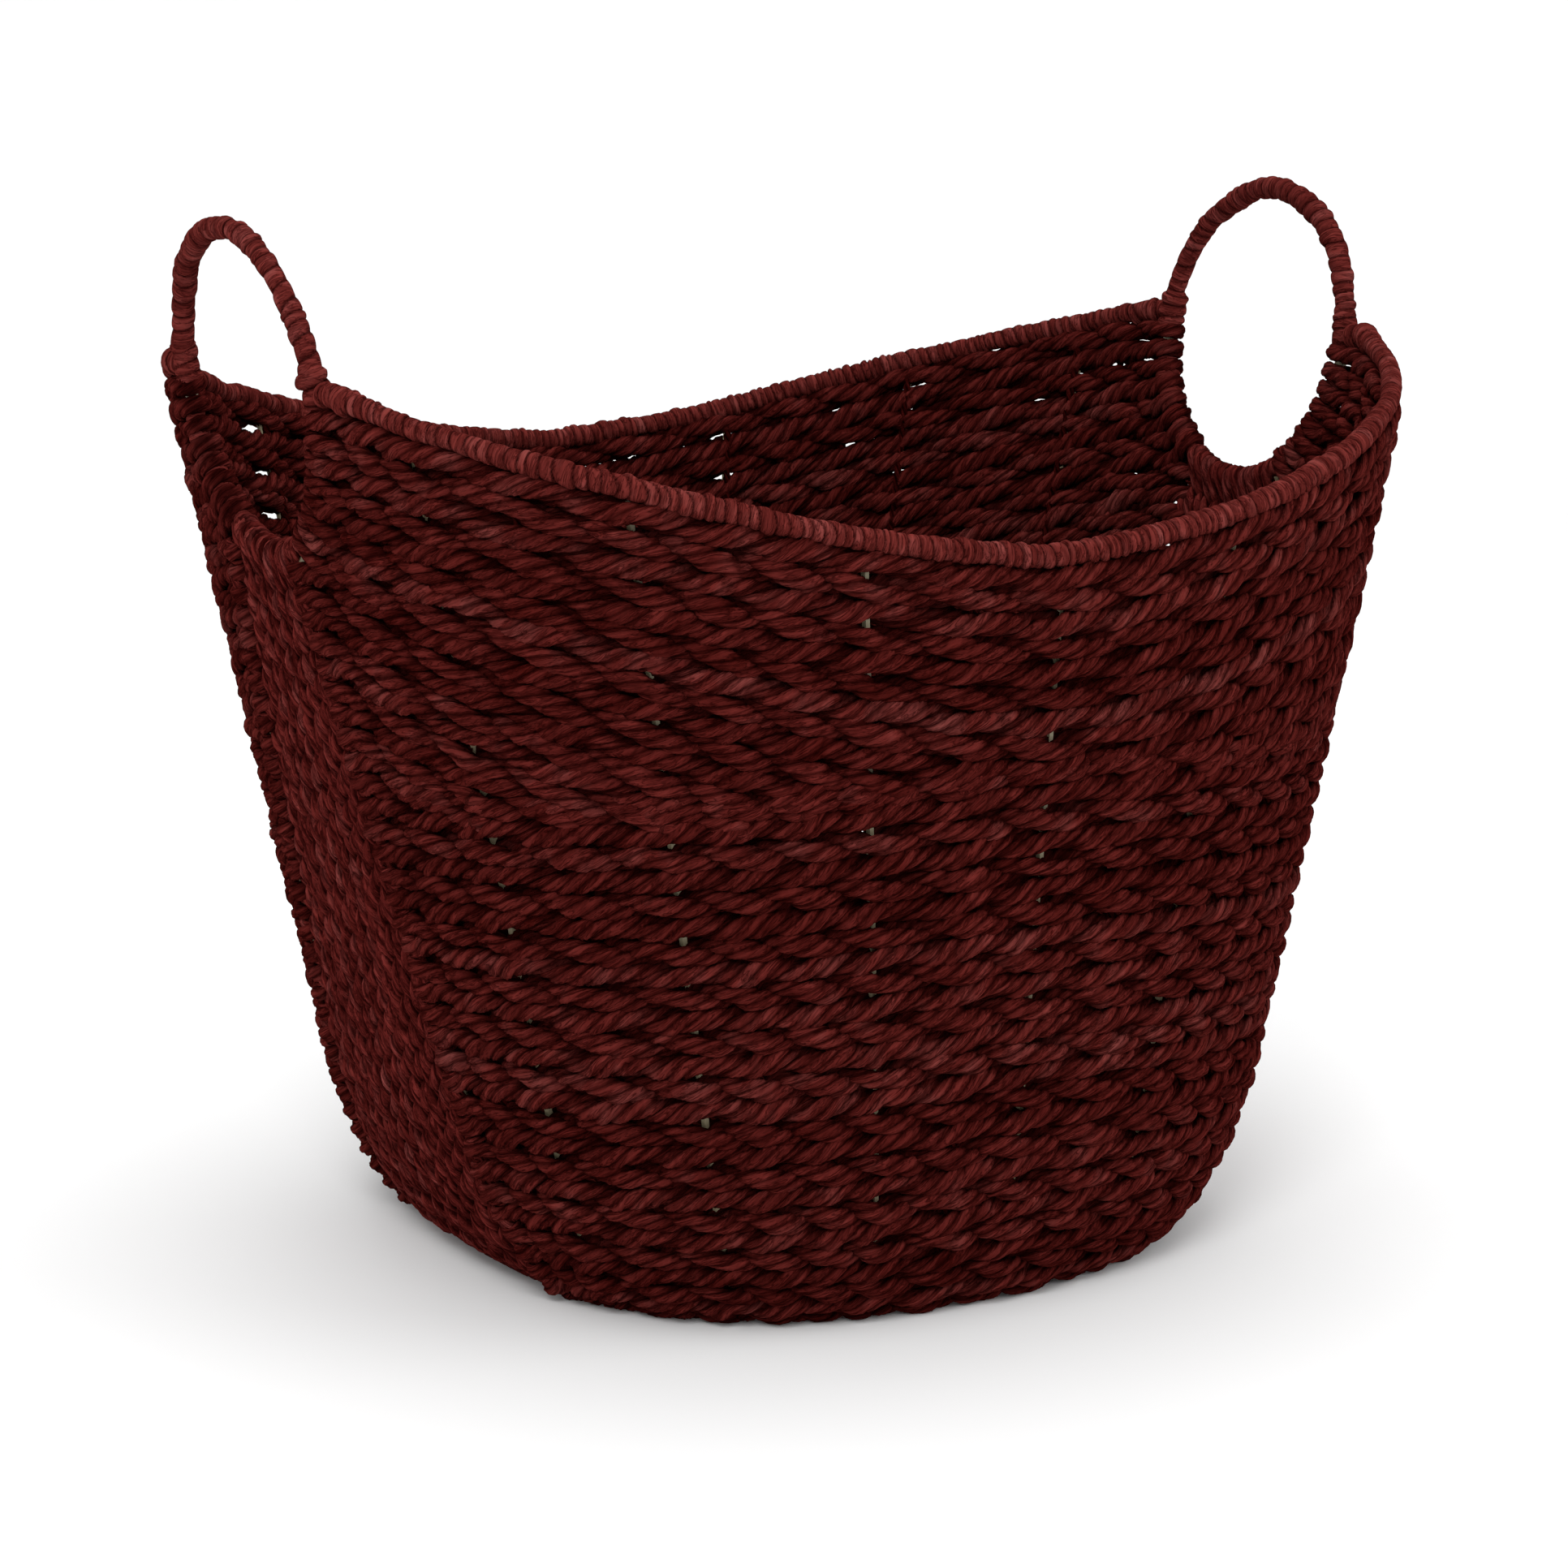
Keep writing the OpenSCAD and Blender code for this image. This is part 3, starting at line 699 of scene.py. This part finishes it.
def end_strip(tag, x_sign, seed):
    first = None
    count = int(BAND_BASE_HALF / STRIP_PITCH)
    for k in range(-count, count + 1):
        y = k * STRIP_PITCH
        found = strip_line(y)
        if found is None:
            continue
        rng = np.random.default_rng(seed + k + 50)
        line, normal, (wire, wire_radius) = found
        line, normal, wire = mirror(line, x_sign, 1), mirror(normal, x_sign, 1), mirror(wire, x_sign, 1)
        even = resample(line, 0.0021)
        at = np.linspace(0, len(line) - 1, len(even))
        normal = unit(np.stack([np.interp(at, np.arange(len(line)), normal[:, c]) for c in range(3)], 1))
        far = np.r_[0, np.cumsum(np.linalg.norm(np.diff(even, axis=0), axis=1))]
        crossings = max(2, round(far[-1] / (0.0115 + 0.003 * rng.random())))
        phase = math.pi * crossings * far / far[-1]
        phase = phase + smooth_noise(rng, len(far), 12, 0.7) * np.sin(math.pi * far / far[-1])
        low = even[0] - unit(even[1] - even[0]) * 0.002
        mesh = twined_row(even, normal, phase, 1 if k % 2 else -1, (low, 0.0005),
                          (wire, wire_radius), rng, radius=0.0029, lift=0.0020, swing=0.0017,
                          sides=12, slim=0.04 + smooth_noise(rng, len(far), 9, 0.08), plies=3)
        obj = rope_piece(f"strip_row_{tag}_{k + count + 1:02d}", [(mesh, 0.12 + 0.32 * rng.random())], strip)
        first = first or obj
    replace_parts(first, f"end_weave_{tag}")


end_strip("right", 1, 700)
end_strip("left", -1, 900)

# ---- base ----


def base_weave():
    """Level rows across the base. Each one ends where the outline passes its inner flank, so
    that the stepped ends reach the first row of the wall."""
    first = None
    long_half = float(length_at(HALF_THICK)) - BASE_EDGE
    wide_half = float(width_at(HALF_THICK)) - BASE_EDGE
    count = round(wide_half / BASE_PITCH)
    pitch = wide_half / (count + BASE_STEP)
    for k in range(-count, count + 1):
        y = k * pitch
        share = max(0.0, abs(y) - BASE_STEP * pitch) / wide_half
        half = long_half * (1 - share ** SQUARENESS) ** (1 / SQUARENESS)
        if half < 0.02:
            continue
        rng = np.random.default_rng(1200 + k + 50)
        x = np.linspace(-half, half, max(20, int(2 * half / 0.0021)))
        line = np.stack([x, np.full_like(x, y), np.full_like(x, BASE_HEIGHT)], 1)
        normal = np.tile([0.0, 0.0, -1.0], (len(x), 1))
        stitches = max(2, round(2 * half / 0.026))
        phase = math.pi * stitches * (x + half) / (2 * half)
        mesh = twined_row(line, normal, phase, 1 if k % 2 else -1, (line[0], 0.0005),
                          (line[-1], 0.0005), rng, lift=0.0019, sides=12, plies=3)
        obj = rope_piece(f"base_row_{k + count + 1:02d}", [(mesh, 0.10 + 0.3 * rng.random())], weave)
        first = first or obj
    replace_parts(first, "base_weave")


base_weave()

# ---- wrapped rim and handles ----


def wound(path, side, core, bead, pitch, rng, sides=20):
    """Paper band wound closely round a wire: uneven turns, each lapped a little over the last."""
    path = resample(path, 0.00052)
    count = len(path)
    run = unit(np.gradient(path, axis=0))
    up = unit(side - (run @ side)[:, None] * run)
    out = np.cross(up, run)
    sway = np.stack([smooth_noise(rng, count, 40, 0.00035) for _ in range(2)], 1)
    far = np.r_[0, np.cumsum(np.linalg.norm(np.diff(path, axis=0), axis=1))]
    widths = pitch * np.clip(np.exp(rng.normal(0, 0.34, int(far[-1] / pitch * 1.6) + 8)), 0.5, 2.0)
    turns = np.interp(far, np.r_[0, np.cumsum(widths)], np.arange(len(widths) + 1))
    around = np.arange(sides) * 2 * math.pi / sides
    slant = smooth_noise(rng, count, 60, 0.22)
    place = turns[:, None] + around[None, :] / (2 * math.pi) + slant[:, None] * np.sin(around)[None, :]
    lap = np.floor(place)
    share = place - lap
    ridge = np.sin(math.pi * share ** 0.75) ** 0.5
    wrap = lap - around[None, :] / (2 * math.pi)
    knots = rng.normal(0, 1, int(wrap.max() * 1.5) + 8)
    at = (wrap + 2) * 1.5
    i = np.clip(at.astype(int), 0, len(knots) - 2)
    f = np.clip(at - i, 0, 1)
    f = f * f * (3 - 2 * f)
    swell = knots[i] * (1 - f) + knots[i + 1] * f
    loose = np.clip(1 + smooth_noise(rng, count, 150, 0.35), 0.35, 1.5)[:, None]
    r = core + bead * loose * ridge * np.clip(1 + 0.40 * swell, 0.4, 1.7)
    r = r + smooth_noise(rng, count, 90, bead * 0.25)[:, None]
    fade = np.clip(np.minimum(np.arange(count), np.arange(count)[::-1]) / 5.0, 0, 1)[:, None]
    r = core * 0.55 + (r - core * 0.55) * np.sqrt(fade)
    verts = (path[:, None, :] + (r * np.cos(around) + sway[:, :1] * fade)[..., None] * up[:, None, :]
             + (r * np.sin(around) + sway[:, 1:] * fade)[..., None] * out[:, None, :])
    rope = np.stack([np.broadcast_to(far[:, None], place.shape), 0.31 * bead * ridge + 0.0007 * lap,
                     core * (around[None, :] - 2 * math.pi * lap)], -1)
    index = np.arange(count * sides).reshape(count, sides)
    here, ahead = index[:-1], index[1:]
    faces = np.stack([here, ahead, np.roll(ahead, -1, 1), np.roll(here, -1, 1)], -1).reshape(-1, 4)
    # the last value is the depth between the turns, which the rope material paints as shade
    return verts.reshape(-1, 3), faces, rope.reshape(-1, 3), np.clip(1 - ridge, 0, 1).reshape(-1)


def rim_line():
    a = -FOOT_ANGLE - np.linspace(0, 1, 160) * (math.pi - 2 * FOOT_ANGLE)
    return wall(a, rim_height(a))


def wrapped(name, mesh, tone, *nodes):
    obj = rope_piece(name, [(mesh, tone)], wrapping_painted_light)
    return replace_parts(obj, *nodes)


UP = np.array([0.0, 0.0, 1.0])
for tag, y_sign, seed in (("front", 1, 1500), ("back", -1, 1510)):
    rng = np.random.default_rng(seed)
    path = mirror(rim_line(), 1, y_sign)
    wrapped(f"rim_winding_{tag}", wound(path, UP, RIM_WRAP - 0.0008, 0.0008, 0.0040, rng), 0.30,
            f"rim_wrap_{tag}")


def ring_arc(start, stop, x_sign, radius=RING_RADIUS):
    count = max(12, int(abs(stop - start) * 40))
    return mirror(np.array([ring_point(t, radius) for t in np.linspace(start, stop, count)]), x_sign, 1)


for tag, x_sign, seed in (("right", 1, 1600), ("left", -1, 1610)):
    rng = np.random.default_rng(seed)
    face = np.array([x_sign * math.cos(RING_LEAN), 0, -math.sin(RING_LEAN)])
    gap = math.radians(3.3)
    arc = ring_arc(RIM_JOINT + gap, math.pi - RIM_JOINT - gap, x_sign)
    wrapped(f"handle_winding_{tag}", wound(arc, face, RING_WRAP - 0.0014, 0.0010, 0.0058, rng), 0.30,
            f"handle_wrap_{tag}")
    bare = math.radians(11.5)
    low = ring_arc(-math.pi - RIM_JOINT + bare, RIM_JOINT - bare, x_sign)
    wrapped(f"notch_winding_{tag}", wound(low, face, RING_WIRE + 0.0006, 0.0019, 0.0066, rng), 0.25,
            f"notch_wrap_{tag}")

# ---- lashings ----


rim = rim_line()
for tag, x_sign, y_sign, seed in (("front_right", 1, 1, 1700), ("front_left", -1, 1, 1710),
                                  ("back_right", 1, -1, 1720), ("back_left", -1, -1, 1730)):
    rng = np.random.default_rng(seed)
    joint = ring_point(RIM_JOINT, RING_RADIUS) * np.array([1, -1, 1])
    path = mirror(np.vstack([joint + 0.3 * (rim[0] - joint), rim[0], rim[3]]), x_sign, y_sign)
    parts = [(wound(path, UP, 0.0044, 0.0011, 0.0046, rng), 0.30)]
    around = ring_arc(RIM_JOINT - 0.16, RIM_JOINT + 0.16, x_sign) * np.array([1, -y_sign, 1])
    face = np.array([x_sign * math.cos(RING_LEAN), 0, -math.sin(RING_LEAN)])
    parts.append((wound(around, face, 0.0045, 0.0011, 0.0050, rng), 0.28))
    obj = rope_piece(f"lashing_rope_{tag}", parts, wrapping_painted_light)
    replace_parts(obj, f"lashing_{tag}")

# ---- rope bound over the wires beside the end strips ----


def coil(path, radius_from, rope_radius, pitch, rng, side, start=0.0):
    """Rope wound in a helix round a path."""
    path = resample(path, 0.0008)
    run = unit(np.gradient(path, axis=0))
    up = unit(side - (run @ side)[:, None] * run)
    out = np.cross(up, run)
    far = np.r_[0, np.cumsum(np.linalg.norm(np.diff(path, axis=0), axis=1))]
    fine = np.linspace(0, far[-1], max(30, int(far[-1] / pitch * 26)))
    centre = np.stack([np.interp(fine, far, path[:, k]) for k in range(3)], 1)
    u = np.stack([np.interp(fine, far, up[:, k]) for k in range(3)], 1)
    o = np.stack([np.interp(fine, far, out[:, k]) for k in range(3)], 1)
    t = start + 2 * math.pi * fine / pitch
    reach = radius_from + smooth_noise(rng, len(fine), 9, rope_radius * 0.18)
    line = centre + (reach * np.cos(t))[:, None] * u + (reach * np.sin(t))[:, None] * o
    guide = unit(line - centre)
    return tube(line, guide, rope_radius, rng, False, sides=12, turn=0.012, plies=3, tall=1, flat=1)


def band_line():
    """Front band wire of the right-hand end, from just under the ring down to the base."""
    z = np.concatenate([np.linspace(BAND_TOP - 0.006, 0.06, 60), np.linspace(0.058, 0.007, 40)])
    a = -outline_angle(band_half(z) / width_at(z))
    return wall(a, z) + BAND_SHIFT * wall_normal(a, z)


for tag, x_sign, y_sign, seed in (("front_right", 1, 1, 1800), ("front_left", -1, 1, 1810),
                                  ("back_right", 1, -1, 1820), ("back_left", -1, -1, 1830)):
    rng = np.random.default_rng(seed)
    path = mirror(band_line(), x_sign, y_sign)
    sideways = np.array([0.0, 1.0, 0.0])
    turns = coil(path, 0.0030, 0.0017, 0.0056, rng, sideways)
    under = resample(path, 0.003)
    cover = tube(under, np.repeat(sideways[None, :], len(under), 0), 0.0027, rng, False, sides=12, plies=3)
    rope_piece(f"edge_binding_{tag}", [(turns, 0.25), (cover, 0.15)], strip)

# ---- floor, light and camera ----


def floor():
    """Pale floor that curves up behind the object."""
    profile = [(-4.0, 0.0), (2.0, 0.0)]
    profile += [(2.0 + 1.2 * math.sin(t), 1.2 - 1.2 * math.cos(t)) for t in np.linspace(0.1, math.pi / 2, 14)]
    profile += [(3.2, 5.0)]
    turn = Matrix.Rotation(math.radians(-29.9), 3, "Z")
    verts = []
    for side in (-6.0, 6.0):
        verts += [turn @ Vector((side, y, z)) for y, z in profile]
    n = len(profile)
    faces = [(i, n + i, n + i + 1, i + 1) for i in range(n - 1)]
    mesh = bpy.data.meshes.new("floor")
    mesh.from_pydata([tuple(v) for v in verts], [], faces)
    mesh.shade_smooth()
    m, nodes, links, shader = new_material("floor_white")
    grain = noise(nodes, 40, 2, 0.5)
    white = ramp(nodes, links, grain.outputs["Fac"],
                 [(0.3, (0.86, 0.86, 0.86, 1)), (0.7, (0.88, 0.88, 0.88, 1))])
    links.new(white, shader.inputs["Base Color"])
    shader.inputs["Roughness"].default_value = 0.9
    mesh.materials.append(m)
    obj = bpy.data.objects.new("floor", mesh)
    bpy.context.scene.collection.objects.link(obj)
    obj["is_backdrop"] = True


floor()


def softbox(name, place, target, size, power):
    light = bpy.data.lights.new(name, "AREA")
    light.shape = "DISK"
    light.size = size
    light.energy = power
    obj = bpy.data.objects.new(name, light)
    bpy.context.scene.collection.objects.link(obj)
    obj.location = place
    obj.rotation_mode = "QUATERNION"
    obj.rotation_quaternion = (Vector(target) - Vector(place)).to_track_quat("-Z", "Y")


softbox("key", (-1.5, -1.9, 2.0), (0, 0, 0.2), 1.2, 37)
softbox("fill", (2.2, -1.8, 1.4), (0, 0, 0.2), 2.0, 22)
softbox("top", (0.2, 0.6, 2.6), (0, 0, 0.2), 2.0, 20)
world = bpy.data.worlds.new("studio")
world.use_nodes = True
world.node_tree.nodes["Background"].inputs["Color"].default_value = (1, 1, 1, 1)
world.node_tree.nodes["Background"].inputs["Strength"].default_value = 0.92
bpy.context.scene.world = world
bpy.context.scene.view_settings.view_transform = "Standard"

CAMERA_TURN, CAMERA_TILT = math.radians(-29.87), math.radians(11.7)
CAMERA_AIM, CAMERA_AWAY = (-0.007, 0.004, 0.180), 1.732
camera = bpy.data.cameras.new("camera")
camera.lens = 94
camera.sensor_width = 36
camera.shift_x, camera.shift_y = 0.0104, 0.0062
camera.clip_start, camera.clip_end = 0.05, 50
eye = bpy.data.objects.new("camera", camera)
bpy.context.scene.collection.objects.link(eye)
back = Vector((math.sin(CAMERA_TURN) * math.cos(CAMERA_TILT),
               -math.cos(CAMERA_TURN) * math.cos(CAMERA_TILT), math.sin(CAMERA_TILT)))
eye.location = Vector(CAMERA_AIM) + CAMERA_AWAY * back
eye.rotation_mode = "QUATERNION"
eye.rotation_quaternion = (-back).to_track_quat("-Z", "Y")
bpy.context.scene.camera = eye

bpy.context.view_layer.update()
low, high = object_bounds()
